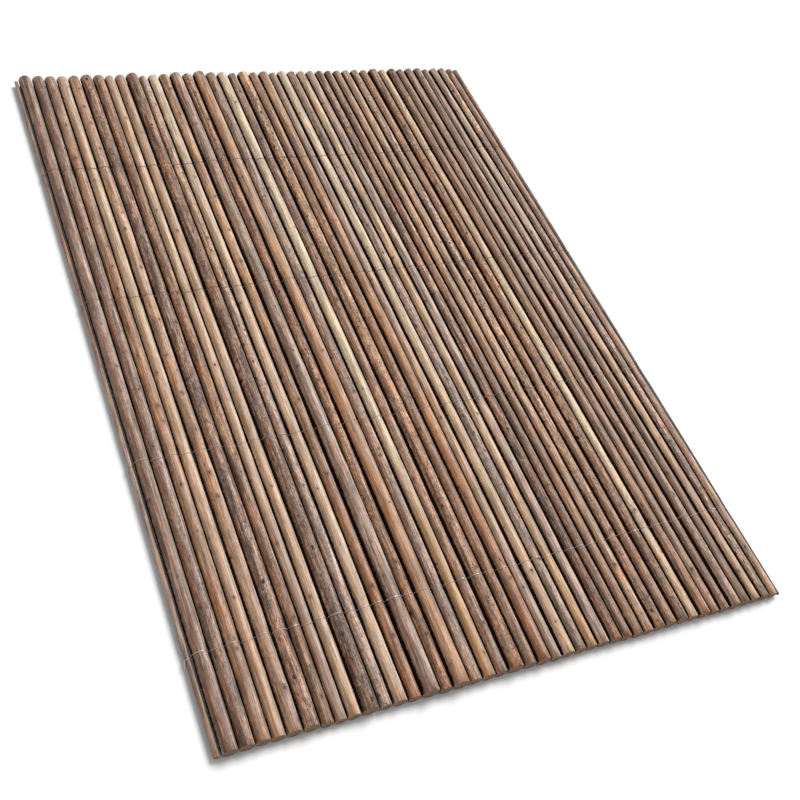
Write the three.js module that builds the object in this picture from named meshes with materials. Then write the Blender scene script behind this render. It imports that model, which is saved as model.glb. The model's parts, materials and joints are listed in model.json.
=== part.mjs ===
// An outdoor rug: unpeeled canes laid side by side and bound by four rows of thin wire.
// Millimetres, +Z up. The rug lies flat on Z = 0 with its middle at the origin.
// X runs across the canes and Y along them, from the near edge at -Y to the far edge at +Y.
import * as THREE from "three";

// Driving dimensions
const WIDTH = 600;
const LENGTH = 850;
const WIRE = 0.8; // side of the wire's square section
const CLEARANCE = 0.3; // between a wire and the bark or the wire beside it
const TIGHT_GAP = 1.45; // the narrowest gap between two canes, which a wire still passes
const SLIM_AXIS = 4.2; // a slim rod's axis hangs this high above the wires under the canes

// How uneven the canes are
const BARK_UNEVEN = 0.03; // the most that the bark lies inside its round, as a share of the radius
const CUT_UNEVEN = 0.8; // the most that an end is cut short
const END_SPLAY = 0.3; // how far an end strays sideways, past the last row of wire
const LOOSE_AT = 0.27; // where the loose gaps are widest, as a share of the length from the near edge
const LOOSE_SPAN = 0.3; // and how far they reach from there

const CANE_SIDES = 8;

// The bark's tones
const tones = {
  straw: new THREE.MeshStandardMaterial({ color: 0xcdb99b, roughness: 0.75, metalness: 0 }),
  sand: new THREE.MeshStandardMaterial({ color: 0xbea07d, roughness: 0.75, metalness: 0 }),
  tan: new THREE.MeshStandardMaterial({ color: 0xaf8764, roughness: 0.75, metalness: 0 }),
  russet: new THREE.MeshStandardMaterial({ color: 0x96735a, roughness: 0.8, metalness: 0 }),
  mauve: new THREE.MeshStandardMaterial({ color: 0x967d73, roughness: 0.8, metalness: 0 }),
  grey: new THREE.MeshStandardMaterial({ color: 0x91827d, roughness: 0.8, metalness: 0 }),
  bark: new THREE.MeshStandardMaterial({ color: 0x786455, roughness: 0.9, metalness: 0 }),
};
const galvanised = new THREE.MeshStandardMaterial({ color: 0x8c8984, roughness: 0.45, metalness: 0.9 });

// The canes from left to right: the bark's tone, the girth across the cane at its near and its far end,
// and how loose the gap on its right is. The first and the last are slim rods that finish the edges.
const canes = [
  ["sand", 4.5, 3, 0],
  ["grey", 13.5, 13.5, 0],
  ["mauve", 13, 12.5, 0],
  ["tan", 12.5, 12, 0],
  ["straw", 11.5, 12, 8],
  ["sand", 13, 12.5, 0],
  ["bark", 14, 13.5, 1],
  ["russet", 11, 12.5, 9],
  ["straw", 10, 11, 0],
  ["straw", 11.5, 11.5, 0],
  ["bark", 15, 14.5, 7],
  ["mauve", 11, 10, 9],
  ["straw", 12.5, 11.5, 10],
  ["tan", 11.5, 12, 6],
  ["grey", 16, 14.5, 0],
  ["russet", 11.5, 12, 0],
  ["tan", 15.5, 15, 1],
  ["mauve", 12, 12.5, 0],
  ["straw", 12.5, 13, 0],
  ["mauve", 11.5, 11, 0],
  ["russet", 15, 13.5, 2],
  ["tan", 12.5, 11.5, 0],
  ["tan", 13.5, 12.5, 0],
  ["sand", 10.5, 10, 1],
  ["straw", 13, 12, 0],
  ["grey", 11.5, 11.5, 0],
  ["sand", 11, 11.5, 2],
  ["grey", 12, 11.5, 0],
  ["bark", 12.5, 11.5, 0],
  ["grey", 11, 11, 0],
  ["tan", 11.5, 11, 1],
  ["mauve", 11, 11, 0],
  ["russet", 12.5, 11.5, 0],
  ["tan", 12.5, 11, 0],
  ["russet", 13, 13, 2],
  ["straw", 11.5, 11.5, 0],
  ["russet", 13, 12.5, 0],
  ["tan", 10.5, 11, 1],
  ["mauve", 11, 12, 0],
  ["grey", 13, 12, 0],
  ["mauve", 11, 10, 0],
  ["sand", 11.5, 11.5, 1],
  ["bark", 11, 11.5, 0],
  ["mauve", 10, 10, 0],
  ["tan", 2.2, 7.5, 0],
].map(([tone, near, far, loose]) => ({ tone, near, far, loose }));

// The rows of wire from the near edge to the far one: how far each lies from the near edge, at its two ends
const rows = [
  { left: 88.5, right: 108.5 },
  { left: 287, right: 302 },
  { left: 489.5, right: 491.5 },
  { left: 686.5, right: 686 },
];

// The two strands of a row run side by side: one over the even canes and under the odd, the other opposite
const strands = [
  { letter: "a", overEven: true, side: -1 },
  { letter: "b", overEven: false, side: 1 },
];

const { lerp } = THREE.MathUtils;

// An even spread of values from -1 to 1 that looks random and is the same each time
const uneven = (a, b) => Math.sin(a * 12.9898 + b * 78.233);

// Lays every cane across the rug at a share t of its length from the near edge: axis x and z, and radius
function layAcross(t) {
  const girths = canes.map((cane) => lerp(cane.near, cane.far, t));
  const opening = Math.exp(-(((t - LOOSE_AT) / LOOSE_SPAN) ** 2));
  const shares = canes.slice(0, -1).map((cane) => 1 + cane.loose * opening);
  const bark = girths.reduce((sum, girth) => sum + girth, 0);
  const spare = WIDTH - bark - TIGHT_GAP * shares.length;
  const sharesInAll = shares.reduce((sum, share) => sum + share, 0);
  let edge = -WIDTH / 2;
  return girths.map((girth, i) => {
    const r = girth / 2;
    const x = edge + r;
    edge += girth + TIGHT_GAP + (spare * (shares[i] ?? 0)) / sharesInAll;
    return { x, z: WIRE + CLEARANCE + Math.max(r, SLIM_AXIS), r };
  });
}

// Where a row of wire passes each cane, y included
function crossings(row) {
  const slope = (row.right - row.left) / WIDTH;
  const yAt = (x) => row.left + slope * (x + WIDTH / 2) - LENGTH / 2;
  return layAcross(row.left / LENGTH).map((roughly, i) => {
    const y = yAt(roughly.x);
    return { y, ...layAcross(y / LENGTH + 0.5)[i] };
  });
}
const rowCrossings = rows.map(crossings);

// One cane: a many-sided round whose flats touch the true girth, with a ring at each end and at each row
function makeCane(cane, i) {
  const nearY = -LENGTH / 2 + CUT_UNEVEN * Math.abs(uneven(i, 1));
  const farY = LENGTH / 2 - CUT_UNEVEN * Math.abs(uneven(i, 2));
  const endAt = (y, seed) => {
    const at = layAcross(y / LENGTH + 0.5)[i];
    return { ...at, y, x: at.x + END_SPLAY * uneven(i, seed) };
  };
  const rings = [endAt(nearY, 3), ...rowCrossings.map((row) => row[i]), endAt(farY, 4)];
  const steps = rings.length - 1;
  const halfSide = Math.PI / CANE_SIDES;
  const geometry = new THREE.CylinderGeometry(1, 1, 1, CANE_SIDES, steps, false, halfSide);
  const place = geometry.attributes.position;
  for (let k = 0; k < place.count; k += 1) {
    const ring = rings[Math.round((place.getY(k) + 0.5) * steps)];
    const corner = Math.round(Math.atan2(place.getX(k), place.getZ(k)) / halfSide);
    const inside = BARK_UNEVEN * (0.5 + 0.5 * uneven(i + corner, ring.y));
    const r = (ring.r * (1 - inside)) / Math.cos(halfSide);
    place.setXYZ(k, ring.x + r * place.getX(k), ring.y, ring.z + r * place.getZ(k));
  }
  geometry.computeVertexNormals();
  const mesh = new THREE.Mesh(geometry, tones[cane.tone]);
  mesh.name = `cane_${String(i).padStart(2, "0")}`;
  return mesh;
}

// The axis of one strand, as (x, z): out of the left edge, round each cane in turn, and out of the right edge
function strandAxis(row, overEven) {
  const round = Math.tan(Math.PI / CANE_SIDES);
  const points = [];
  row.forEach((at, i) => {
    const up = (i % 2 === 0) === overEven ? 1 : -1;
    const reach = at.r + CLEARANCE + WIRE / 2;
    const before = row[i - 1];
    const after = row[i + 1];
    const left = before ? (before.x + before.r + at.x - at.r) / 2 : at.x - reach;
    const right = after ? (at.x + at.r + after.x - after.r) / 2 : at.x + reach;
    const shoulder = (x) => at.z + up * (reach * Math.SQRT2 - Math.abs(x - at.x));
    if (!before) points.push([left, at.z]);
    points.push([left, shoulder(left)]);
    points.push([at.x - reach * round, at.z + up * reach]);
    points.push([at.x + reach * round, at.z + up * reach]);
    points.push([right, shoulder(right)]);
    if (!after) points.push([right, at.z]);
  });
  return points.map(([x, z]) => new THREE.Vector2(x, z));
}

// The outline of a band of even width along an axis, with mitred corners
function bandOutline(axis, width) {
  const normals = axis.slice(1).map((point, k) => {
    const along = point.clone().sub(axis[k]).normalize();
    return new THREE.Vector2(-along.y, along.x);
  });
  const edge = (side) =>
    axis.map((point, k) => {
      const before = normals[Math.max(k - 1, 0)];
      const after = normals[Math.min(k, normals.length - 1)];
      const mitre = before.clone().add(after).normalize();
      return point.clone().addScaledVector(mitre, (side * width) / 2 / mitre.dot(after));
    });
  return new THREE.Shape([...edge(1), ...edge(-1).reverse()]);
}

// One strand of wire, which slants with its row
function makeStrand(row, number, strand) {
  const outline = bandOutline(strandAxis(rowCrossings[number], strand.overEven), WIRE);
  const geometry = new THREE.ExtrudeGeometry(outline, { depth: WIRE, bevelEnabled: false });
  geometry.translate(0, 0, -WIRE / 2);
  geometry.rotateX(Math.PI / 2);
  geometry.applyMatrix4(new THREE.Matrix4().makeShear((row.right - row.left) / WIDTH, 0, 0, 0, 0, 0));
  const mesh = new THREE.Mesh(geometry, galvanised);
  const aside = (strand.side * (WIRE + CLEARANCE)) / 2;
  mesh.position.y = (row.left + row.right) / 2 - LENGTH / 2 + aside;
  mesh.name = `wire_${number + 1}_${strand.letter}`;
  return mesh;
}

const rug = new THREE.Group();
rug.add(...canes.map(makeCane));
rows.forEach((row, number) => rug.add(...strands.map((strand) => makeStrand(row, number, strand))));

export default rug;
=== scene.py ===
# %% [markdown]
# # An outdoor rug of wired canes
# The rug is some forty unpeeled canes, laid side by side and bound by four rows of thin wire. Each cane
# is a little different: its girth, its tone, its buds and the way its bark has weathered. This lesson
# builds them one by one over a plain model of the rug, and then makes the bark, the wire and the light.
# The plain model comes first, because every cane here is laid where the plain one lies.

# %% Load the plain model
import json
import math

import bpy
import numpy as np
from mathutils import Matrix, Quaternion, Vector


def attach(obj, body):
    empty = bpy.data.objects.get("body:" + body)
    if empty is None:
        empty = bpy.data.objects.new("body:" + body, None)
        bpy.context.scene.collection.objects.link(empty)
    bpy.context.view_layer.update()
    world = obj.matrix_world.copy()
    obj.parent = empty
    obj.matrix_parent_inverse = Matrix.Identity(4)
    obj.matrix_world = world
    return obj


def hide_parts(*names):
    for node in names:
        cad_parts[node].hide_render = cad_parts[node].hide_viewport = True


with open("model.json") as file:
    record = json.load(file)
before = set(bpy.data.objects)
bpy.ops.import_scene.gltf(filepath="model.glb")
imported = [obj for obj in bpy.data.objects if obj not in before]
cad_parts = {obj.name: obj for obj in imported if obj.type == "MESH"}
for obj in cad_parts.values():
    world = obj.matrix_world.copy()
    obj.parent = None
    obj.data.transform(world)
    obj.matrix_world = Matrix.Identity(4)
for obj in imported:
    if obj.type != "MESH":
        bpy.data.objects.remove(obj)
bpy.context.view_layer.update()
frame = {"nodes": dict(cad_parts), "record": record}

MM = 0.001
slot_of = {part["node"]: part["material_slot"] for part in frame["record"]["subparts"]}
cane_names = sorted(name for name in frame["nodes"] if name.startswith("cane_"))
wire_names = sorted(name for name in frame["nodes"] if name.startswith("wire_"))
print("canes", len(cane_names), "strands of wire", len(wire_names))

# %% [markdown]
# A cane of the plain model is an eight-sided rod with a ring of corners at each end and at each row of
# wire. The middle of each ring and its girth are all that is needed to lay a finer cane in its place, and
# reading them from the mesh keeps both models the same. Corners of one ring share their place along Y, so
# sorting them by Y and cutting the list at every jump finds the rings.

# %% Read where each cane runs
RING_JUMP = 2 * MM  # rings lie much further apart than this


def read_rings(name):
    """The rings of a plain cane from its near end to its far one, as arrays of y, x, z and radius."""
    corners = np.array([v.co for v in frame["nodes"][name].data.vertices])
    corners = corners[np.argsort(corners[:, 1])]
    cuts = np.nonzero(np.diff(corners[:, 1]) > RING_JUMP)[0] + 1
    found = []
    for ring in np.split(corners, cuts):
        low, high = ring.min(0), ring.max(0)
        middle = (low + high) / 2
        found.append((middle[1], middle[0], middle[2], (high - low)[0] / 2))
    return np.array(found).T


rings = {name: read_rings(name) for name in cane_names}
girths = np.array([2 * rings[name][3].mean() / MM for name in cane_names])
print("rings on each cane", rings[cane_names[0]].shape[1])
print("girths from", round(girths.min(), 1), "to", round(girths.max(), 1), "mm")

# %% [markdown]
# No cane is a clean cylinder. Between two rows of wire it bows a little to one side, its section is
# slightly oval, shallow ribs run along it, and a bud scar swells it every few centimetres. All of these
# could be modelled by hand, but forty canes are many, so each cane gets a plan of its own: a few numbers
# drawn from a seeded generator. One function then says how far the bark lies from the middle of the cane
# at any place, and both the canes and the wires round them ask that same function.

# %% Say how uneven a cane may be
BOW = 0.4 * MM  # the most that a cane bows between two rows of wire
OVAL = 0.025  # how far from round a section is, as a share of its radius
SWELL = 0.02  # how much the girth wanders along a cane, as a share
RIB = 0.07 * MM  # height of the ribs along the bark
KNOT_STEP = (26 * MM, 66 * MM)  # from one bud scar to the next
KNOT_TURN = math.radians(144)  # buds climb a shoot in a spiral, two fifths of a turn at a time
KNOT_MARGIN = 12 * MM  # bark without a bud at each end
FAR_AWAY = 9.0  # metres, where no cane reaches
SLIM = 4 * MM  # a rod with a smaller radius is a twig, with small buds
PROUD = (0.62 * MM, 0.45 * MM)  # the bark stands this far out from the plain cane, at the left and the right
PINCH, PINCHED = 9 * MM, 0.75  # towards a row the wire draws it in, over this length and by this share
BY_WIRE, BY_SEEN = 5 * MM, 14 * MM  # a drawn bud stays this far from a wire, and from one that is listed
print("buds stand", round(KNOT_STEP[0] / MM), "to", round(KNOT_STEP[1] / MM), "mm apart")

# %% Place the buds that show
# Bud scars that show clearly on the real rug: millimetres from the middle of the rug, by number of the cane
SEEN = {
    2: (-126, -57), 3: (-172, -80, 76, 108, 278, 335, 396),
    5: (-386, -192, -165, -114, -69, 28, 102, 160, 291, 336, 365, 399), 7: (-326,), 9: (152,), 10: (28,),
    11: (139,), 13: (-365, -314, -189, -97, 98, 147, 347, 395), 15: (-372, -296, 159, 297, 334, 386),
    17: (-172, -98), 19: (-376, 28, 92, 134, 387), 21: (122,), 24: (-338,), 25: (-173, -101), 31: (-352, 98),
    32: (-393, -316, -114), 35: (-300,), 37: (-377, -66, 310), 39: (404,), 43: (416,),
}
LARGE = {(5, -386): 1.6, (5, -165): 1.25, (13, -97): 1.2, (15, -372): 1.3, (17, -98): 1.2, (32, -393): 1.3}
print("buds placed by hand", sum(len(places) for places in SEEN.values()))

# %% Draw a plan for each cane
FIRST_SEED = 500


def draw_plan(name, number):
    """Everything that makes one cane its own, from a seed of its own."""
    y, x, z, radius = rings[name]
    chance = np.random.default_rng(FIRST_SEED + number)
    slender = min(1.0, radius.mean() / SLIM)
    plan = {
        "name": name, "number": number, "y": y, "x": x, "z": z, "radius": radius, "chance": chance,
        "bow_x": chance.uniform(-1, 1, len(y)) * BOW * slender,
        "bow_z": chance.uniform(0, 0.6, len(y)) * BOW * slender,
        "oval": chance.uniform(0.3, 1) * OVAL, "oval_turn": chance.uniform(0, math.pi),
        "swell": chance.uniform(0.3, 1) * SWELL, "swell_shift": chance.uniform(0, 6, 3),
        "rib_shift": chance.uniform(0, 6, 3), "seed": chance.uniform(0, 50),
        "proud": np.interp(number, (0, len(cane_names) - 1), PROUD),
    }
    knots = []
    for place in SEEN.get(number, ()):
        knots.append((place * MM, chance.uniform(-0.2, 0.35), LARGE.get((number, place), 1.0)))
    seen = np.array([place for place, _, _ in knots] + [FAR_AWAY])
    along, turn = y[0] + chance.uniform(*KNOT_STEP) / 2, chance.uniform(0, 2 * math.pi)
    while along < y[-1] - KNOT_MARGIN:
        size = chance.uniform(0.5, 0.95) * slender
        if abs(y[1:-1] - along).min() > BY_WIRE and abs(seen - along).min() > BY_SEEN:
            knots.append((along, turn, size))
        along += chance.uniform(*KNOT_STEP)
        turn = (turn + KNOT_TURN + chance.uniform(-0.5, 0.5)) % (2 * math.pi)
    plan["knots"] = knots
    return plan


plans = {name: draw_plan(name, number) for number, name in enumerate(cane_names)}
print("bud scars in all", sum(len(plan["knots"]) for plan in plans.values()))

# %% Say where the middle of a cane runs
SWELL_WAVES = (31, 67, 113)  # three waves along a cane that never fall in step


def middle_at(plan, along):
    """x, z and radius of a cane at the places along it. It is held at the rows of wire and bows between."""
    bay = np.clip(np.searchsorted(plan["y"], along, side="right") - 1, 0, len(plan["y"]) - 2)
    share = (along - plan["y"][bay]) / (plan["y"][bay + 1] - plan["y"][bay])
    free_end = (bay == 0) | (bay == len(plan["y"]) - 2)
    arch = np.where(free_end, 0.0, np.sin(np.pi * np.clip(share, 0, 1)) ** 2)
    x = np.interp(along, plan["y"], plan["x"]) + plan["bow_x"][bay] * arch
    z = np.interp(along, plan["y"], plan["z"]) + plan["bow_z"][bay] * arch
    a, b, c = (np.sin(along * wave + shift) for wave, shift in zip(SWELL_WAVES, plan["swell_shift"]))
    wander = (a + b + 0.6 * c) / 2.6
    radius = np.interp(along, plan["y"], plan["radius"]) * (1 - plan["swell"] * (0.5 + 0.5 * wander))
    from_wire = abs(np.asarray(along)[..., None] - plan["y"][1:-1]).min(-1)
    proud = plan["proud"] * (1 - PINCHED * np.exp(-((from_wire / PINCH) ** 2)))
    return x, z, radius + proud


sample = middle_at(plans["cane_05"], np.array([0.0]))
print("cane_05 half way along: x, z and radius", [round(value[0] / MM, 2) for value in sample], "mm")

# %% Say how far the bark lies from the middle
RIBS = ((3, 1.0, 9), (5, 0.8, -14), (8, 0.7, 0))  # how many ribs go round, how high, and how they twist
RIB_SPAN = 6 * MM  # a thinner cane than this has lower ribs
KNOT_LENGTH, KNOT_WIDTH, KNOT_HEIGHT = 3.2 * MM, 2.2 * MM, 0.7 * MM
SCAR_SHARE, SCAR_DEPTH = 0.5, 0.75  # the sunken scar at the heart of a bud, as shares of the bud
FAR_OFF = 4.0  # a place this many bud lengths away counts as plain bark
JOINT_LENGTH, JOINT_HEIGHT = 9 * MM, 0.16 * MM  # the shoot is a little thicker all round at a bud


def bark_at(plan, along, turn):
    """Distance of the bark from the middle of the cane, and how far off the nearest bud is, in bud lengths.
    turn is measured from the top of the cane towards its right side."""
    radius = middle_at(plan, along)[2]
    ribs = sum(height * np.sin(count * turn + shift + twist * along)
               for (count, height, twist), shift in zip(RIBS, plan["rib_shift"]))
    out = radius * (1 - plan["oval"] * (0.5 + 0.5 * np.cos(2 * (turn - plan["oval_turn"]))))
    out = out + RIB * np.minimum(radius / RIB_SPAN, 1) * ribs / 2.5
    off_bud = np.full_like(out, FAR_OFF)
    for place, knot_turn, size in plan["knots"]:
        reach = (along - place) / (KNOT_LENGTH * size)
        aside = (turn - knot_turn + math.pi) % (2 * math.pi) - math.pi
        aside = aside * radius / (KNOT_WIDTH * size)
        off = reach**2 + aside**2
        out = out + size * KNOT_HEIGHT * (np.exp(-off) - SCAR_DEPTH * np.exp(-off / SCAR_SHARE**2))
        out = out + size * JOINT_HEIGHT * np.exp(-(((along - place) / JOINT_LENGTH) ** 2))
        off_bud = np.minimum(off_bud, np.sqrt(off))
    return out, off_bud


sample = bark_at(plans["cane_05"], np.array([0.0]), np.array([0.0]))[0][0]
print("bark of cane_05 over its middle", round(sample / MM, 2), "mm")

# %% [markdown]
# The canes in the photograph are tanned unevenly: one is straw at one end and grey at the other, another
# has an ochre stretch where its bark has rubbed thin. A chart of tones by name says this for each cane,
# from its near end to its far one. The colours go on the mesh as a colour attribute, so that one bark
# material can serve all the canes of a tone.

# %% Name the tones
def srgb(red, green, blue):
    """A colour as picked on a screen, in the linear values that shaders use."""
    shares = [channel / 255 for channel in (red, green, blue)]
    return tuple(share / 12.92 if share <= 0.04 else ((share + 0.055) / 1.055) ** 2.4 for share in shares)


BARK = {
    "ivory": srgb(205, 191, 174), "straw": srgb(192, 168, 146), "sand": srgb(183, 154, 133),
    "ochre": srgb(177, 141, 100), "tan": srgb(166, 131, 108), "orange": srgb(168, 126, 96),
    "pearl": srgb(188, 169, 159), "lilac": srgb(170, 151, 145), "grey": srgb(154, 133, 122),
    "mauve": srgb(156, 128, 114), "dusk": srgb(142, 115, 104), "russet": srgb(151, 116, 92),
    "rust": srgb(153, 107, 77), "bark": srgb(130, 101, 83), "umber": srgb(106, 81, 65),
    # The darkest tone is near black: a painted shadow along the right edge of the rug, not a bark tone
    "pitch": srgb(52, 38, 31),
}
print("tones", len(BARK))

# %% Chart the canes
SKIN = {"smooth": 0.4, "plain": 0.7, "flecked": 1.1, "scaly": 1.5}  # how marked the bark is
# The last cane's near end is charted near black, as a painted shadow along the right edge
# Each cane from the left: its skin, and its tones at even steps from the near end to the far one
CHART = """
smooth  grey lilac tan lilac
plain   bark bark dusk bark
flecked bark dusk bark dusk
plain   russet tan russet mauve
smooth  tan sand straw sand
plain   mauve tan sand tan
scaly   mauve dusk dusk mauve
flecked bark russet russet russet
smooth  dusk sand straw sand
smooth  sand sand sand mauve
scaly   umber umber bark bark russet bark russet russet russet
flecked lilac lilac sand pearl
smooth  sand straw straw ivory
plain   rust russet sand tan
plain   dusk grey grey mauve
scaly   russet russet russet russet
smooth  tan orange sand tan
flecked lilac mauve lilac grey
smooth  ochre ochre ivory ivory ivory ivory ivory
flecked mauve tan mauve mauve
scaly   russet tan sand sand
flecked bark russet russet mauve
plain   rust orange tan sand
smooth  lilac sand lilac grey
smooth  sand straw ivory ivory
flecked grey lilac lilac grey
smooth  ochre straw straw straw
smooth  lilac lilac pearl lilac
scaly   rust umber bark mauve mauve mauve grey grey grey
flecked bark bark rust bark
plain   russet russet sand mauve
plain   sand sand straw sand
scaly   mauve sand lilac lilac
flecked russet tan tan tan
scaly   bark tan tan russet
plain   straw ivory straw straw
plain   russet mauve russet bark
plain   mauve mauve mauve dusk
plain   bark mauve mauve mauve
flecked grey mauve mauve dusk
smooth  bark bark lilac grey
smooth  sand sand pearl lilac
scaly   lilac lilac lilac pearl
plain   sand mauve mauve mauve
scaly   pitch pitch umber bark
"""
skins = [line.split()[0] for line in CHART.strip().splitlines()]
tone_rows = [line.split()[1:] for line in CHART.strip().splitlines()]


def tint_at(number, along, reach):
    """The bark's tint at places along a cane, blended between the tones that the chart names."""
    tones = np.array([BARK[tone] for tone in tone_rows[number]])
    steps = np.linspace(-reach, reach, len(tones))
    return np.stack([np.interp(along, steps, tones[:, k]) for k in range(3)], axis=1)


print("canes charted", len(tone_rows))

# %% [markdown]
# Now the mesh of one cane. It is a grid of rings, closed at each end by a worn edge and a sawn face. The
# rings stand 9 mm apart on plain bark and close up round each bud, where there is more to show. Building
# the grid with arrays is quick, and the same grid carries attributes for the bark: its tint, how marked it
# is, how far off the nearest bud is, and a seed that keeps two canes from sharing a pattern.

# %% Choose where the rings stand
RING_STEP = 9 * MM
KNOT_RINGS = np.array([-4.5, -2.8, -1.4, 0, 1.4, 2.8, 4.5]) * MM
CLOSEST = 0.3 * MM  # two rings that stand closer are one
SIDES = 32
turns = np.arange(SIDES) * 2 * math.pi / SIDES


def ring_places(plan):
    """Places of the rings along a cane, closer together round its buds."""
    low, high = plan["y"][0], plan["y"][-1]
    places = [np.linspace(low, high, round((high - low) / RING_STEP))]
    places += [place + KNOT_RINGS * size for place, _, size in plan["knots"]]
    places = np.unique(np.concatenate(places))
    places = places[(places >= low) & (places <= high)]
    keep = np.concatenate([[True], np.diff(places) > CLOSEST])
    keep[-1] = True
    return places[keep]


print("rings on cane_05", len(ring_places(plans["cane_05"])))

# %% Place the points of one cane
EDGE_WEAR = 0.35 * MM  # how far the sawn edge is rounded off
SAW_TILT = 0.035  # slope of a saw cut, as a share
FACE_RINGS = (0.8, 0.55, 0.3)  # rings on a sawn face, as shares of the radius
TILTED = 4 * MM  # the rings this near an end follow its saw cut


def cane_points(plan):
    """The points of a cane as a grid of rings, with its two tips after them. Also each grid point's place
    along the cane, its distance from the middle, and how far off the nearest bud is."""
    low, high = plan["y"][0], plan["y"][-1]
    places = ring_places(plan)
    slope = plan["chance"].uniform(-SAW_TILT, SAW_TILT, 2)
    worn_low, worn_high = places[0] + EDGE_WEAR, places[-1] - EDGE_WEAR
    along = np.concatenate([np.repeat(low, len(FACE_RINGS) + 1), [worn_low], places[1:-1], [worn_high],
                            np.repeat(high, len(FACE_RINGS) + 1)])
    inset = (*FACE_RINGS[::-1], 1 - EDGE_WEAR / plan["radius"].mean())
    shrink = np.concatenate([inset, np.ones(len(along) - 2 * len(inset)), inset[::-1]])
    grid_y, grid_turn = np.meshgrid(along, turns, indexing="ij")
    x, z, _ = middle_at(plan, grid_y)
    out, off_bud = bark_at(plan, grid_y, grid_turn)
    out = out * shrink[:, None]
    near = np.where(grid_y < 0, slope[0], slope[1]) * (abs(grid_y) > high - TILTED)
    inwards = abs(near * out) * np.sign(grid_y)
    points = np.stack([x + out * np.sin(grid_turn), grid_y - inwards, z + out * np.cos(grid_turn)], axis=2)
    tips = np.array([low, high])
    tip_x, tip_z, _ = middle_at(plan, tips)
    verts = np.concatenate([points.reshape(-1, 3), np.stack([tip_x, tips, tip_z], axis=1)])
    return verts, grid_y.ravel(), out.ravel(), off_bud.ravel()


print("sides of a cane", SIDES, "and rings on each sawn face", len(FACE_RINGS))

# %% Lay the canes
def cane_mesh(plan):
    """The mesh of a cane with its sawn ends: bark is material 0 and sawn wood is material 1."""
    verts, along, out, off_bud = cane_points(plan)
    count, last = len(along) // SIDES, len(verts) - 1
    k = np.arange(SIDES)
    quads = [np.stack([r * SIDES + k, r * SIDES + (k + 1) % SIDES, (r + 1) * SIDES + (k + 1) % SIDES,
                       (r + 1) * SIDES + k], axis=1) for r in range(count - 1)]
    fans = [(last - 1, (j + 1) % SIDES, j) for j in range(SIDES)]
    fans += [(last, (count - 1) * SIDES + j, (count - 1) * SIDES + (j + 1) % SIDES) for j in range(SIDES)]
    mesh = bpy.data.meshes.new(plan["name"] + "_mesh")
    mesh.from_pydata(verts.tolist(), [], [q for ring in quads for q in ring.tolist()] + fans)
    face_rings = len(FACE_RINGS)
    sawn = np.array([r < face_rings or r >= count - 1 - face_rings for r in range(count - 1)])
    sawn = np.concatenate([np.repeat(sawn, SIDES), np.ones(len(fans), bool)])
    mesh.polygons.foreach_set("material_index", sawn.astype(np.int32))
    mesh.polygons.foreach_set("use_smooth", ~sawn)
    tint = np.concatenate([tint_at(plan["number"], along, plan["y"][-1]), np.ones((2, 3))])
    colour = mesh.attributes.new("tint", "FLOAT_COLOR", "POINT")
    colour.data.foreach_set("color", np.column_stack([tint, np.ones(len(tint))]).astype(np.float32).ravel())
    put_on_points(mesh, "off_bud", np.concatenate([off_bud, [FAR_OFF, FAR_OFF]]))
    put_on_points(mesh, "heart", np.concatenate([out, [0, 0]]))
    put_on_points(mesh, "seed", np.full(len(verts), plan["seed"]))
    put_on_points(mesh, "marked", np.full(len(verts), SKIN[skins[plan["number"]]]))
    put_on_points(mesh, "open_left", np.full(len(verts), plan["number"] == 0))
    return mesh


def put_on_points(mesh, name, values):
    """Stores one number for each point of a mesh, for a material to read by name."""
    mesh.attributes.new(name, "FLOAT", "POINT").data.foreach_set("value", values.astype(np.float32))


canes = {}
for name in cane_names:
    canes[name] = bpy.data.objects.new(name + "_fine", cane_mesh(plans[name]))
    bpy.context.collection.objects.link(canes[name])
print("canes laid", len(canes), "with faces", sum(len(cane.data.polygons) for cane in canes.values()))

# %% [markdown]
# The binding wire goes over one cane and under the next, and its partner does the opposite, so the two
# cross in every gap. A curve with a round bevel would make such a wire, but the tube has to hug bark that
# is neither straight nor round. So the path is worked out from the same bark function as the canes, a few
# points round each cane, and then skinned with small rings.

# %% Find the line of each row
WIRE = 0.64 * MM  # thickness of the round wire
RUBBED = (1.0, 0.45, 0.1, 0.1)  # how far feet have rubbed each row bright, from the near one


def row_line(name):
    """How a strand's row runs across the rug: its y at the middle, and its slope."""
    corners = np.array([v.co for v in frame["nodes"][name].data.vertices])
    slope, middle = np.polyfit(corners[:, 0], corners[:, 1], 1)
    return middle, slope


print("row of wire_1_a lies", round(row_line("wire_1_a")[0] / MM, 1), "mm from the middle")

# %% Twist the tails
TAIL_TURNS, TAIL_LENGTH, TAIL_RADIUS = 2.5, 7 * MM, 0.5 * MM
TAIL_POINTS = 26
TAIL_OUT, TAIL_LEAN, TAIL_DROP = 0.5 * MM, 0.6 * MM, 0.9 * MM  # outwards at once, then more, and down


def tail(start, heading, phase):
    """The end of a strand, twisted round its partner's end and bent down along the edge rod."""
    share = np.linspace(0.12, 1, TAIL_POINTS)
    angle = phase + share * TAIL_TURNS * 2 * math.pi
    along = start[1] - share * TAIL_LENGTH
    radius = TAIL_RADIUS * np.minimum(1, share * 4)
    x = start[0] + heading * (TAIL_OUT + TAIL_LEAN * share) + radius * np.cos(angle)
    z = start[2] - TAIL_DROP * share + radius * np.sin(angle)
    return np.stack([x, along, z], axis=1)


print("length of a tail", round(TAIL_LENGTH / MM, 1), "mm")

# %% Trace the path of a strand
SEAT = 0.04 * MM  # between wire and bark
ARC = np.radians([-78, -62, -45, -28, -10, 10, 28, 45, 62, 78])  # from the top or bottom of a cane
SLANT = 0.3 * MM  # how far the wire wanders along a cane as it goes over it
ROLL = 1.1 * MM  # a pair has rolled forward as it was pulled tight, so what passes over lies nearer


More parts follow.
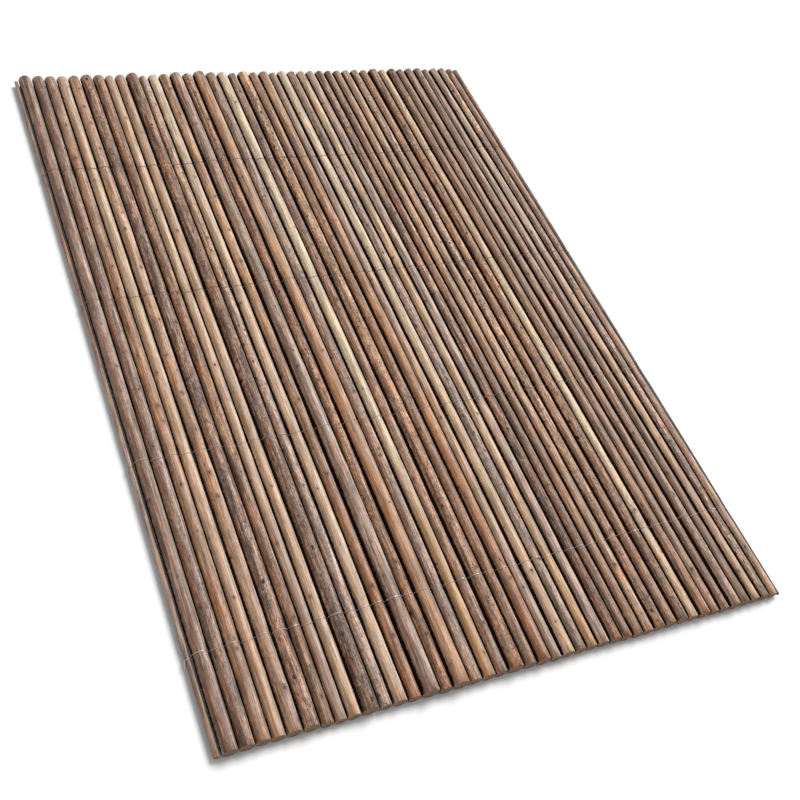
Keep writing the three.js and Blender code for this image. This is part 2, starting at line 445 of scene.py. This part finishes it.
def strand_path(name, over_even):
    """The middle of one strand from the left edge to the right one, with a twisted tail at each end."""
    middle, slope = row_line(name)
    points = []
    for number, cane in enumerate(cane_names):
        plan = plans[cane]
        over = (number % 2 == 0) == over_even
        sweep = ARC if over else math.pi - ARC
        x = np.interp(middle, plan["y"], plan["x"])
        along = middle + slope * x + SLANT * np.sin(sweep) - ROLL * np.cos(sweep)
        mid_x, mid_z, _ = middle_at(plan, along)
        out = bark_at(plan, along, sweep)[0] + WIRE / 2 + SEAT
        points.append(np.stack([mid_x + out * np.sin(sweep), along, mid_z + out * np.cos(sweep)], axis=1))
    path = np.concatenate(points)
    path[:, 2] = np.maximum(path[:, 2], WIRE / 2)
    phase = 0 if over_even else math.pi
    first, last = tail(path[0], -1, phase)[::-1], tail(path[-1], 1, phase)
    return np.concatenate([first, path, last])


print("first point of wire_1_a", (strand_path("wire_1_a", True)[0] / MM).round(1), "mm")

# %% Smooth a path and skin it
WIRE_SIDES = 7
SHORTEST = 0.12 * MM  # points of a path that lie closer than this are one


def smooth_path(path, rounds=2):
    """Cuts the corners of a path, as a stiff wire does, and keeps its ends."""
    for _ in range(rounds):
        a, b = path[:-1], path[1:]
        cut = np.stack([0.75 * a + 0.25 * b, 0.25 * a + 0.75 * b], axis=1).reshape(-1, 3)
        path = np.concatenate([path[:1], cut, path[-1:]])
        steps = np.linalg.norm(np.diff(path, axis=0), axis=1)
        path = path[np.concatenate([[True], steps > SHORTEST])]
    return path


def tube_mesh(name, path, thickness):
    """A closed round tube along a path. Each ring is carried on from the last, so that it doesn't twist."""
    ahead = np.gradient(path, axis=0)
    ahead /= np.linalg.norm(ahead, axis=1)[:, None]
    side = np.cross(ahead[0], [0, 0, 1.0])
    rows = []
    angle = np.arange(WIRE_SIDES) * 2 * math.pi / WIRE_SIDES
    for point, direction in zip(path, ahead):
        side = side - direction * (side @ direction)
        side /= np.linalg.norm(side)
        round_it = np.outer(np.cos(angle), side) + np.outer(np.sin(angle), np.cross(direction, side))
        rows.append(point + thickness / 2 * round_it)
    verts = np.concatenate(rows)
    k = np.arange(WIRE_SIDES)
    faces = []
    for r in range(len(path) - 1):
        here, there = r * WIRE_SIDES, (r + 1) * WIRE_SIDES
        after = (k + 1) % WIRE_SIDES
        faces += np.stack([here + k, here + after, there + after, there + k], axis=1).tolist()
    faces += [k[::-1].tolist(), ((len(path) - 1) * WIRE_SIDES + k).tolist()]
    mesh = bpy.data.meshes.new(name)
    mesh.from_pydata(verts.tolist(), [], faces)
    mesh.polygons.foreach_set("use_smooth", np.ones(len(faces), bool))
    return mesh


print("points on the path of wire_1_a", len(smooth_path(strand_path("wire_1_a", True))))

# %% Bind the canes
wires = {}
for name in wire_names:
    path = smooth_path(strand_path(name, name.endswith("a")))
    mesh = tube_mesh(name + "_mesh", path, WIRE)
    put_on_points(mesh, "rubbed", np.full(len(mesh.vertices), RUBBED[int(name[5]) - 1]))
    wires[name] = bpy.data.objects.new(name + "_fine", mesh)
    bpy.context.collection.objects.link(wires[name])
print("strands", len(wires), "with faces", sum(len(wire.data.polygons) for wire in wires.values()))

# %% [markdown]
# Materials come next. Several effects are needed by more than one material: streaks along the grain,
# soft blotches, round specks where the bark breathes, flakes of lifted bark, and painted shade in the
# clefts between canes and beneath them. Each is a node group of its own, made once, which puts out a
# mask. A small helper keeps the node trees short: it adds a node, sets its inputs and links what has
# to be linked.

# %% A helper for node trees
class Tree:
    """Adds nodes to a node tree. An input is a value or another node's output socket."""

    def __init__(self, nodes_of):
        self.tree = nodes_of

    def add(self, kind, inputs=None, **settings):
        node = self.tree.nodes.new("ShaderNode" + kind)
        for key, value in settings.items():
            setattr(node, key, value)
        for key, value in (inputs or {}).items():
            self.put(node.inputs[key], value)
        return node

    def put(self, socket, value):
        if isinstance(value, bpy.types.NodeSocket):
            self.tree.links.new(value, socket)
        else:
            socket.default_value = value

    def math(self, operation, a, b=0.0, clamp=False):
        return self.add("Math", {0: a, 1: b}, operation=operation, use_clamp=clamp).outputs[0]

    def vector(self, operation, a, b=(0, 0, 0)):
        node = self.add("VectorMath", {0: a, 1: b}, operation=operation)
        return node.outputs["Value" if operation in ("LENGTH", "DOT_PRODUCT") else "Vector"]

    def spread(self, value, low, high, to_low=0.0, to_high=1.0):
        inputs = {"Value": value, "From Min": low, "From Max": high, "To Min": to_low, "To Max": to_high}
        return self.add("MapRange", inputs, interpolation_type="SMOOTHSTEP").outputs[0]

    def scaled(self, vector, factor):
        return self.add("VectorMath", {0: vector, "Scale": factor}, operation="SCALE").outputs["Vector"]

    def noise(self, vector, scale, detail=2.0, roughness=0.5):
        inputs = {"Vector": vector, "Scale": scale, "Detail": detail, "Roughness": roughness}
        return self.add("TexNoise", inputs).outputs[0]

    def place(self):
        return self.add("TexCoord").outputs["Object"]

    def blend(self, factor, a, b, mode="MIX"):
        node = self.add("Mix", {0: factor, 6: a, 7: b}, data_type="RGBA", blend_type=mode)
        return node.outputs[2]

    def attribute(self, name, output="Fac"):
        return self.add("Attribute", attribute_name=name).outputs[output]


def new_group(name, sockets):
    """An empty node group with number inputs and one mask output. Returns its tree and its two ends."""
    group = bpy.data.node_groups.new(name, "ShaderNodeTree")
    for label, value in sockets.items():
        socket = group.interface.new_socket(label, in_out="INPUT", socket_type="NodeSocketFloat")
        socket.default_value = value
    group.interface.new_socket("Mask", in_out="OUTPUT", socket_type="NodeSocketFloat")
    tree = Tree(group)
    return tree, group.nodes.new("NodeGroupInput").outputs, group.nodes.new("NodeGroupOutput").inputs


print("calls of the node helper", [name for name in vars(Tree) if not name.startswith("_")])

# %% Streaks along the grain
def on_bark(t, given):
    """Where a pattern is read. The seed slides each cane along it, and Shift parts one layer from another."""
    slide = t.math("MULTIPLY", t.attribute("seed"), 0.1)
    layer = t.math("MULTIPLY", given["Shift"], 0.01)
    return t.vector("ADD", t.place(), t.add("CombineXYZ", {1: slide, 2: layer}).outputs[0])


def make_streaks():
    """Noise drawn out along the cane. Size is across the grain, in millimetres, and Stretch is how many times
    longer than wide a streak is."""
    t, given, out = new_group("Grain Streaks", {"Size": 1.0, "Stretch": 18.0, "Shift": 0.0})
    thin = t.math("DIVIDE", 1000.0, given["Size"])
    long = t.math("DIVIDE", thin, given["Stretch"])
    scale = t.add("CombineXYZ", {0: thin, 1: long, 2: thin}).outputs[0]
    noise = t.noise(t.vector("MULTIPLY", on_bark(t, given), scale), 0.5, 2.0, 0.55)
    t.put(out["Mask"], t.spread(noise, 0.33, 0.67))
    return t.tree


streaks = make_streaks()
print("node group", streaks.name)

# %% Blotches
def make_blotches():
    """Soft patches, longer than wide. Cover is how much of the bark they take, from 0 to 1."""
    t, given, out = new_group("Bark Blotches", {"Size": 14.0, "Stretch": 4.0, "Cover": 0.5, "Shift": 0.0})
    thin = t.math("DIVIDE", 1000.0, given["Size"])
    long = t.math("DIVIDE", thin, given["Stretch"])
    scale = t.add("CombineXYZ", {0: thin, 1: long, 2: thin}).outputs[0]
    noise = t.noise(t.vector("MULTIPLY", on_bark(t, given), scale), 1.0, 3.0, 0.55)
    edge = t.spread(given["Cover"], 0.0, 1.0, 0.68, 0.32)
    t.put(out["Mask"], t.spread(noise, t.math("SUBTRACT", edge, 0.07), t.math("ADD", edge, 0.07)))
    return t.tree


blotches = make_blotches()
print("node group", blotches.name)

# %% Specks
def make_specks():
    """Specks at random places, in about half of the cells. Their radius and the cell are in millimetres, and
    Drawn is how many times longer than wide a speck is."""
    sockets = {"Radius": 1.0, "Drawn": 1.4, "Around": 8.0, "Along": 24.0, "Shift": 0.0}
    t, given, out = new_group("Bark Specks", sockets)
    cell = t.add("CombineXYZ", {0: given["Around"], 1: given["Along"], 2: given["Around"]}).outputs[0]
    cell = t.scaled(cell, MM)
    apart = t.vector("DIVIDE", on_bark(t, given), cell)
    cells = t.add("TexVoronoi", {"Vector": apart, "Scale": 1.0, "Randomness": 1.0})
    offset = t.vector("MULTIPLY", t.vector("SUBTRACT", apart, cells.outputs["Position"]), cell)
    drawn = t.math("DIVIDE", 1000.0, given["Drawn"])
    offset = t.vector("MULTIPLY", offset, t.add("CombineXYZ", {0: 1000.0, 1: drawn, 2: 1000.0}).outputs[0])
    ragged = t.spread(t.noise(t.place(), 700.0), 0.3, 0.7, -0.4, 0.4)
    distance = t.math("ADD", t.vector("LENGTH", offset), ragged)
    size = t.math("MULTIPLY", given["Radius"], t.spread(cells.outputs["Color"], 0.45, 0.75, 0.02, 1.15))
    t.put(out["Mask"], t.math("SUBTRACT", 1.0, t.spread(t.math("DIVIDE", distance, size), 0.5, 1.15)))
    return t.tree


specks = make_specks()
print("node group", specks.name)

# %% Flakes of lifted bark
def make_flakes():
    """Ragged flakes, a few millimetres long, where the bark has cracked and lifted. Cover is from 0 to 1."""
    t, given, out = new_group("Bark Flakes", {"Size": 5.0, "Cover": 0.4, "Shift": 0.0})
    thin = t.math("DIVIDE", 1000.0, given["Size"])
    scale = t.add("CombineXYZ", {0: thin, 1: t.math("DIVIDE", thin, 3.2), 2: thin}).outputs[0]
    place = t.vector("MULTIPLY", on_bark(t, given), scale)
    where = t.spread(t.noise(place, 0.35), t.spread(given["Cover"], 0, 1, 0.66, 0.3), 0.75)
    t.put(out["Mask"], t.math("MULTIPLY", where, t.spread(t.noise(place, 1.6, 4.0, 0.7), 0.48, 0.6)))
    return t.tree


flakes = make_flakes()
print("node group", flakes.name)

# %% Painted shade in the clefts and beneath
def make_painted_shade():
    """Painted shade: where a surface lies in the cleft between two canes, from 0 on top to 1 on the flanks.
    Beneath, it is 0.6, falling to 0.25 at the very bottom. On the left flanks the painted shade reaches
    higher than on the right, and higher still towards the right of the rug. A cane whose left side is open
    has no cleft there."""
    t, _, out = new_group("Sheltered Side", {})
    normal = t.add("NewGeometry").outputs["Normal"]
    up = t.vector("DOT_PRODUCT", normal, (0, 0, 1))
    right = t.vector("DOT_PRODUCT", normal, (1, 0, 0))
    left = t.vector("DOT_PRODUCT", normal, (-1, 0, 0))
    broken = t.spread(t.noise(t.place(), 260.0, 3.0), 0.3, 0.7, -0.03, 0.02)
    across = t.add("SeparateXYZ", {0: t.place()}).outputs[0]
    shade_wider_to_right = t.spread(across, -0.3, 0.3, -0.03, 0.07)
    left_flank_shade = t.spread(t.math("ADD", t.math("ADD", left, broken), shade_wider_to_right), 0.80, 0.93)
    left_flank_shade = t.math("MULTIPLY", left_flank_shade, t.math("SUBTRACT", 1.0, t.attribute("open_left")))
    right_flank_shade = t.spread(t.math("ADD", right, broken), 0.92, 1.0)
    beneath = t.math("SUBTRACT", 1.0, t.spread(t.math("ADD", up, broken), -0.5, 0.3))
    beneath = t.math("MULTIPLY", beneath, t.spread(up, -1.0, -0.3, 0.25, 0.6))
    cleft = t.math("MAXIMUM", left_flank_shade, right_flank_shade)
    t.put(out["Mask"], t.math("MAXIMUM", cleft, beneath))
    return t.tree


painted_shade = make_painted_shade()
print("node group", painted_shade.name)

# %% The painted highlight
HIGHLIGHT_FACING = (0.92, 0.0, 0.39)  # the side of the canes where a highlight is painted, towards the light


def make_bleach():
    """A painted highlight: how far a surface faces the lit side of the rug, from 0 to 1, a little patchy."""
    t, _, out = new_group("Painted Highlight Side", {})
    facing = t.vector("DOT_PRODUCT", t.add("NewGeometry").outputs["Normal"], HIGHLIGHT_FACING)
    patchy = t.noise(t.vector("MULTIPLY", t.place(), (1.0, 0.15, 1.0)), 300.0, 3.0)
    facing = t.math("ADD", facing, t.spread(patchy, 0.3, 0.7, -0.12, 0.12))
    t.put(out["Mask"], t.spread(facing, 0.4, 1.0))
    return t.tree


bleach = make_bleach()
print("node group", bleach.name)

# %% [markdown]
# One bark material serves each tone. They share a recipe: start from the tint on the mesh, warm it, redden
# it and green it in blotches, streak it along the grain, add specks and scars, lift some pale flakes, paint
# a highlight on the side of each cane towards the light and a warm shade on the other side, and paint
# shade into what lies in the gaps. What differs from tone to tone is how much of each, which a table gives.
# Willow that has been out for a season is dry but not dull: smooth bark keeps a low sheen, flaky bark none.

# %% The traits of each bark
# The last column of each row is the strength of the painted highlight on the side towards the light
TRAITS = {
    "cane_straw": {"warm": 0.30, "rosy": 0.20, "streak": 0.28, "speck": 0.8, "flake": 0.10, "bleach": 0.42},
    "cane_sand": {"warm": 0.40, "rosy": 0.32, "streak": 0.34, "speck": 0.9, "flake": 0.15, "bleach": 0.38},
    "cane_tan": {"warm": 0.52, "rosy": 0.30, "streak": 0.36, "speck": 0.9, "flake": 0.12, "bleach": 0.28},
    "cane_russet": {"warm": 0.54, "rosy": 0.35, "streak": 0.46, "speck": 1.0, "flake": 0.25, "bleach": 0.22},
    "cane_mauve": {"warm": 0.42, "rosy": 0.42, "streak": 0.40, "speck": 0.9, "flake": 0.15, "bleach": 0.34},
    "cane_grey": {"warm": 0.38, "rosy": 0.40, "streak": 0.40, "speck": 0.9, "flake": 0.15, "bleach": 0.42},
    "cane_bark": {"warm": 0.50, "rosy": 0.45, "streak": 0.55, "speck": 1.0, "flake": 0.55, "bleach": 0.16},
}
# The first five multiply the tint, and the others are laid over it
OCHRE = (1.04, 0.90, 0.69, 1)
ROSY = (0.89, 0.72, 0.77, 1)
MOSSY = (0.94, 0.96, 0.70, 1)
EMBER = (0.98, 0.80, 0.65, 1)
# Painted shade: a warm darkening of the side of each cane away from the light
SHADY = (0.98, 0.88, 0.76, 1)
SCAR = (*srgb(36, 22, 15), 1)
FLAKE = (*srgb(188, 168, 150), 1)
# Painted highlight: the pale colour painted onto the side of each cane towards the light
HIGHLIGHT_COLOUR = (*srgb(204, 189, 176), 1)
# Painted shade: the near-black brown painted into the clefts between canes and beneath them
SHADE_BROWN = (*srgb(36, 19, 10), 1)


def group_mask(tree, group, **values):
    """Places a node group in a material and returns its mask."""
    node = tree.add("Group")
    node.node_tree = group
    for label, value in values.items():
        tree.put(node.inputs[label], value)
    return node.outputs["Mask"]


def start_material(name):
    """A new material, its node helper and its Principled BSDF."""
    material = bpy.data.materials.new(name)
    material.use_nodes = True
    tree = Tree(material.node_tree)
    return material, tree, material.node_tree.nodes["Principled BSDF"]


print("kinds of bark", len(TRAITS))

# %% Marks on the bark
SPOTS = {"Radius": 1.6, "Drawn": 1.6, "Around": 8.0, "Along": 22.0, "Shift": 2.0}
DASHES = {"Radius": 0.75, "Drawn": 3.5, "Around": 3.5, "Along": 11.0, "Shift": 9.0}
PITS = {"Radius": 0.75, "Drawn": 1.7, "Around": 2.6, "Along": 5.0, "Shift": 17.0}


def bark_marks(t, trait, marked):
    """The dark marks: bud scars, specks, short dashes and ragged flecks, more of them where it is marked."""
    spots = group_mask(t, specks, **SPOTS)
    dashes = group_mask(t, specks, **DASHES)
    pits = group_mask(t, specks, **PITS)
    ragged = group_mask(t, flakes, Size=1.4, Cover=0.75, Shift=21.0)
    spots = t.math("MULTIPLY", spots, trait["speck"] * 0.8)
    marks = t.math("MAXIMUM", spots, t.math("MULTIPLY", dashes, 0.55))
    marks = t.math("MAXIMUM", marks, t.math("MULTIPLY", ragged, 0.65))
    marks = t.math("MULTIPLY", marks, marked, clamp=True)
    pits = t.math("MULTIPLY", pits, t.spread(marked, 0.5, 1.5, 0.0, 0.65))
    marks = t.math("MAXIMUM", marks, pits)
    torn = t.spread(t.noise(t.place(), 800.0), 0.3, 0.7, -0.2, 0.25)
    off_bud = t.math("ADD", t.attribute("off_bud"), torn)
    scar = t.math("SUBTRACT", 1.0, t.spread(off_bud, 0.35, 0.85))
    halo = t.math("SUBTRACT", 1.0, t.spread(off_bud, 0.5, 1.8))
    scar = t.math("MAXIMUM", t.math("MULTIPLY", scar, 0.9), t.math("MULTIPLY", halo, 0.4))
    return t.math("MAXIMUM", marks, scar)


print("a spot is up to", 2 * SPOTS["Radius"], "mm across")

# %% Colours in the bark
PATCHES = {
    "ochre": {"Size": 4.5, "Stretch": 6.0, "Shift": 3.0},
    "rosy": {"Size": 3.5, "Stretch": 5.0, "Shift": 11.0},
    "mossy": {"Size": 3.0, "Stretch": 4.0, "Shift": 41.0},
    "ember": {"Size": 1.7, "Stretch": 3.5, "Shift": 37.0},
}


def bark_colour(t, trait, marked):
    """The tint with its ochre, rosy, mossy and ember patches, a painted highlight on the right, painted shade
    on the left.
    """
    ochre = group_mask(t, blotches, Cover=trait["warm"], **PATCHES["ochre"])
    rosy = group_mask(t, blotches, Cover=trait["rosy"], **PATCHES["rosy"])
    mossy = group_mask(t, blotches, Cover=0.4, **PATCHES["mossy"])
    ember = group_mask(t, blotches, Cover=0.42, **PATCHES["ember"])
    worn = group_mask(t, streaks, Size=1.2, Stretch=32.0, Shift=29.0)
    pale = group_mask(t, bleach)
    colour = t.attribute("tint", "Color")
    colour = t.blend(t.math("MULTIPLY", ochre, 0.9), colour, OCHRE, "MULTIPLY")
    colour = t.blend(t.math("MULTIPLY", rosy, 0.9), colour, ROSY, "MULTIPLY")
    colour = t.blend(t.math("MULTIPLY", mossy, 0.7), colour, MOSSY, "MULTIPLY")
    ember = t.math("MULTIPLY", ember, t.math("MULTIPLY", marked, 0.5), clamp=True)
    colour = t.blend(ember, colour, EMBER, "MULTIPLY")
    # Painted shade and painted highlight: the side away from the light is darkened and warmed, and the side
    # towards it is painted pale
    colour = t.blend(t.spread(pale, 0.0, 0.7, 0.9, 0.0), colour, SHADY, "MULTIPLY")
    colour = t.blend(t.math("MULTIPLY", pale, trait["bleach"]), colour, HIGHLIGHT_COLOUR)
    return t.blend(t.spread(worn, 0.55, 1.0, 0.0, 0.3), colour, FLAKE)


print("layers of patches", len(PATCHES))

# %% Light and dark in the bark
GRAIN = (1.1, 0.5)  # how far the grain darkens and lightens a bark, as shares of its streak
FIBRE = (0.9, 0.35)
MOTTLE = 0.42  # how far a marked bark is mottled


def bark_depth(t, trait, marked, grain, fibre, mottle):
    """How light or dark the bark is from place to place, as a factor on its colour."""
    streak = trait["streak"]
    depth = t.spread(grain, 0.0, 1.0, 1 - GRAIN[0] * streak, 1 + GRAIN[1] * streak)
    fine = t.spread(fibre, 0.0, 1.0, 1 - FIBRE[0] * streak, 1 + FIBRE[1] * streak)
    depth = t.math("MULTIPLY", depth, fine)
    skin = t.math("MULTIPLY", t.math("SUBTRACT", mottle, 0.5), t.math("MULTIPLY", marked, MOTTLE))
    return t.math("MULTIPLY", depth, t.math("ADD", 1.0, skin))


print("the grain darkens scaly bark to", round(1 - GRAIN[0] * TRAITS["cane_bark"]["streak"], 2))

# %% Bark
def bark_material(slot):
    """The bark of one tone, from its row of the table."""
    trait = TRAITS[slot]
    material, t, shader = start_material(slot)
    grain = group_mask(t, streaks, Size=1.4, Stretch=24.0)
    fibre = group_mask(t, streaks, Size=0.6, Stretch=24.0, Shift=7.0)
    mottle = group_mask(t, streaks, Size=1.0, Stretch=2.4, Shift=13.0)
    lifted = group_mask(t, flakes, Size=2.2, Cover=trait["flake"], Shift=5.0)
    shade_mask = group_mask(t, painted_shade)
    marked = t.attribute("marked")
    marks = bark_marks(t, trait, marked)
    colour = t.scaled(bark_colour(t, trait, marked), bark_depth(t, trait, marked, grain, fibre, mottle))
    colour = t.blend(t.math("MULTIPLY", lifted, 0.55), colour, FLAKE)
    colour = t.blend(marks, colour, SCAR)
    # Painted shade: the clefts between canes and their undersides are painted a near-black brown, and the
    # specular there is taken away as well
    t.put(shader.inputs["Base Color"], t.blend(shade_mask, colour, SHADE_BROWN))
    dry = t.math("MULTIPLY", t.math("MAXIMUM", marks, lifted), 0.25)
    t.put(shader.inputs["Roughness"], t.math("ADD", t.spread(grain, 0.0, 1.0, 0.48, 0.6), dry))
    t.put(shader.inputs["Specular IOR Level"], t.spread(shade_mask, 0.0, 1.0, 0.5, 0.0))
    height = t.math("ADD", grain, t.math("ADD", fibre, mottle))
    height = t.math("MULTIPLY", height, 0.45 * trait["streak"])
    height = t.math("ADD", height, t.math("MULTIPLY", lifted, 0.6))
    height = t.math("SUBTRACT", height, t.math("MULTIPLY", marks, 0.5))
    bump = t.add("Bump", {"Height": height, "Strength": 0.8, "Distance": 0.35 * MM})
    t.put(shader.inputs["Normal"], bump.outputs[0])
    return material


barks = {slot: bark_material(slot) for slot in TRAITS}
print("bark materials", len(barks))

# %% [markdown]
# A sawn end shows the wood inside: pale rings round a small dark pith, and the grey of a cut that has
# stood in the weather. The mesh carries each point's distance from the heart of the wood, so the rings are
# a wave of that distance, bent by a little noise.

# %% Sawn wood
RING_WIDTH = 1.3 * MM  # one year's growth
PITH = (0.5 * MM, 1.1 * MM)  # radius of the pith, and of its soft edge
# The sawn wood is darker than fresh-cut willow: partly weathered wood, and partly painted shade, so the near
# ends read as a shaded band along the near edge
EARLY_WOOD = (*srgb(132, 106, 84), 1)
LATE_WOOD = (*srgb(86, 64, 49), 1)
GREYED = (*srgb(82, 72, 64), 1)
PITH_BROWN = (*srgb(52, 36, 26), 1)


def sawn_material():
    """The end grain of a cane."""
    material, t, shader = start_material("sawn_wood")
    wander = t.spread(t.noise(t.place(), 240.0, 3.0), 0.2, 0.8, -0.18 * MM, 0.18 * MM)
    distance = t.math("ADD", t.attribute("heart"), wander)
    wave = t.math("SINE", t.math("MULTIPLY", distance, 2 * math.pi / RING_WIDTH))
    ring = t.spread(wave, -0.2, 0.95)
    pith = t.math("SUBTRACT", 1.0, t.spread(distance, *PITH))
    weather = t.spread(t.noise(t.place(), 420.0, 4.0), 0.35, 0.65)
    colour = t.blend(ring, EARLY_WOOD, LATE_WOOD)
    colour = t.blend(t.math("MULTIPLY", weather, 0.4), colour, GREYED)
    colour = t.blend(pith, colour, PITH_BROWN)
    t.put(shader.inputs["Base Color"], colour)
    t.put(shader.inputs["Roughness"], t.spread(weather, 0, 1, 0.75, 0.92))
    height = t.math("ADD", t.math("MULTIPLY", ring, 0.5), weather)
    bump = t.add("Bump", {"Height": height, "Strength": 0.6, "Distance": 0.2 * MM})
    t.put(shader.inputs["Normal"], bump.outputs[0])
    return material


sawn = sawn_material()
print("material", sawn.name)

# %% [markdown]
# The wire is galvanised steel that has dulled outdoors. It stays bright where it is rubbed, most of all in
# the near row. It is left bright on top of the canes, and is painted browner where it dips into the gaps
# and on its underside, as painted shade. Its colour, its roughness and its metal look all follow one mask,
# of which way the metal faces and how rubbed the row is.

# %% Galvanised wire
BRIGHT_ZINC = (*srgb(214, 210, 206), 1)
DULL_AND_SHADED_ZINC = (*srgb(132, 112, 97), 1)


def wire_material():
    """Dull zinc with a few brighter rubbed stretches, and painted shade that browns it in the gaps and
    beneath.
    """
    material, t, shader = start_material("binding_wire")
    mottle = t.spread(t.noise(t.place(), 160.0, 3.0), 0.38, 0.62)
    # Painted shade: the same cleft and underside mask as the bark makes the wire duller and browner there, on
    # top of real mottling and wear
    dull_and_shade = t.math("MAXIMUM", group_mask(t, painted_shade), t.math("MULTIPLY", mottle, 0.7))
    dull_and_shade = t.math("MAXIMUM", dull_and_shade, t.math("SUBTRACT", 1.0, t.attribute("rubbed")))
    t.put(shader.inputs["Base Color"], t.blend(dull_and_shade, BRIGHT_ZINC, DULL_AND_SHADED_ZINC))
    t.put(shader.inputs["Roughness"], t.spread(dull_and_shade, 0, 1, 0.34, 0.6))
    t.put(shader.inputs["Metallic"], t.spread(dull_and_shade, 0, 1, 0.75, 0.2))
    bump = t.add("Bump", {"Height": t.noise(t.place(), 2600.0), "Strength": 0.3, "Distance": 0.05 * MM})
    t.put(shader.inputs["Normal"], bump.outputs[0])
    return material


zinc = wire_material()
print("material", zinc.name)

# %% Dress the pieces and set them in the plain model's place
for name, piece in {**canes, **wires}.items():
    if name in canes:
        piece.data.materials.append(barks[slot_of[name]])
        piece.data.materials.append(sawn)
    else:
        piece.data.materials.append(zinc)
    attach(piece, "root")
    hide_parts(name)
print("pieces dressed", len(canes) + len(wires))

# %% [markdown]
# The rug was photographed from above its near left corner, on a white floor, with the light coming over
# its right side. Every cane is therefore pale on its right and brown on its left. A sun lamp with a wide
# disc gives that direction with soft edges, and a white sky fills the rest. The floor is a plain sheet.

# %% Floor
FLOOR_HALF = 60.0


def floor_material():
    """Plain near-white floor paint with a faint unevenness in its roughness."""
    material, t, shader = start_material("floor_white")
    t.put(shader.inputs["Roughness"], t.spread(t.noise(t.place(), 9.0, 3.0), 0.3, 0.7, 0.85, 0.95))
    shader.inputs["Base Color"].default_value = (0.8, 0.8, 0.8, 1)
    shader.inputs["Specular IOR Level"].default_value = 0.1
    return material


corners = [(x, y, 0) for x, y in ((-FLOOR_HALF, -FLOOR_HALF), (FLOOR_HALF, -FLOOR_HALF),
                                  (FLOOR_HALF, FLOOR_HALF), (-FLOOR_HALF, FLOOR_HALF))]
floor_mesh = bpy.data.meshes.new("floor_mesh")
floor_mesh.from_pydata(corners, [], [(0, 1, 2, 3)])
floor_mesh.materials.append(floor_material())
floor = bpy.data.objects.new("floor", floor_mesh)
bpy.context.collection.objects.link(floor)
print("floor", 2 * FLOOR_HALF, "m wide")

# %% Light
SUN_FROM = np.array([0.60, 0.40, 0.82])  # towards the light: right, a little behind, and up
SUN_STRENGTH, SKY_STRENGTH = 3.7, 0.52
SKY_SEEN = 0.9  # how bright the sky looks where the camera sees it behind the floor
sun = bpy.data.objects.new("key_light", bpy.data.lights.new("key_light", "SUN"))
sun.data.energy = SUN_STRENGTH
sun.data.angle = math.radians(34)
sun.rotation_mode = "QUATERNION"
sun.rotation_quaternion = Vector(SUN_FROM).to_track_quat("Z", "Y")
bpy.context.collection.objects.link(sun)
world = bpy.data.worlds.new("white_studio")
world.use_nodes = True
world_tree, backdrop = Tree(world.node_tree), world.node_tree.nodes["Background"]
backdrop.inputs["Color"].default_value = (1, 1, 1, 1)
seen_straight = world_tree.add("LightPath").outputs["Is Camera Ray"]
world_tree.put(backdrop.inputs["Strength"], world_tree.spread(seen_straight, 0, 1, SKY_STRENGTH, SKY_SEEN))
bpy.context.scene.world = world
bpy.context.scene.view_settings.view_transform = "Standard"
print("sun", SUN_STRENGTH, "sky", SKY_STRENGTH)

# %% [markdown]
# The camera's place was worked out from the rug's four corners in the photograph: their sides meet at two
# vanishing points, which give the lens and the tilt, and the rug's real size then gives the distance. The
# camera leans to its side as well, which is why the rug lies askew in the picture.

# %% Camera
EYE = Vector((-0.4951, -0.7017, 0.8825))
LOOKS_AT = Vector((-0.0100, -0.1157, 0.0101))
LENS, LEAN = 49.73, math.radians(22.75)
camera = bpy.data.objects.new("camera", bpy.data.cameras.new("camera"))
camera.data.lens = LENS
camera.data.sensor_width = 36
camera.location = EYE
camera.rotation_mode = "QUATERNION"
level = (LOOKS_AT - EYE).to_track_quat("-Z", "Y")
lean = Vector((0, 0, 1))
camera.rotation_quaternion = level @ Quaternion(lean, LEAN)
bpy.context.collection.objects.link(camera)
bpy.context.scene.camera = camera
print("camera at", [round(c, 3) for c in EYE])
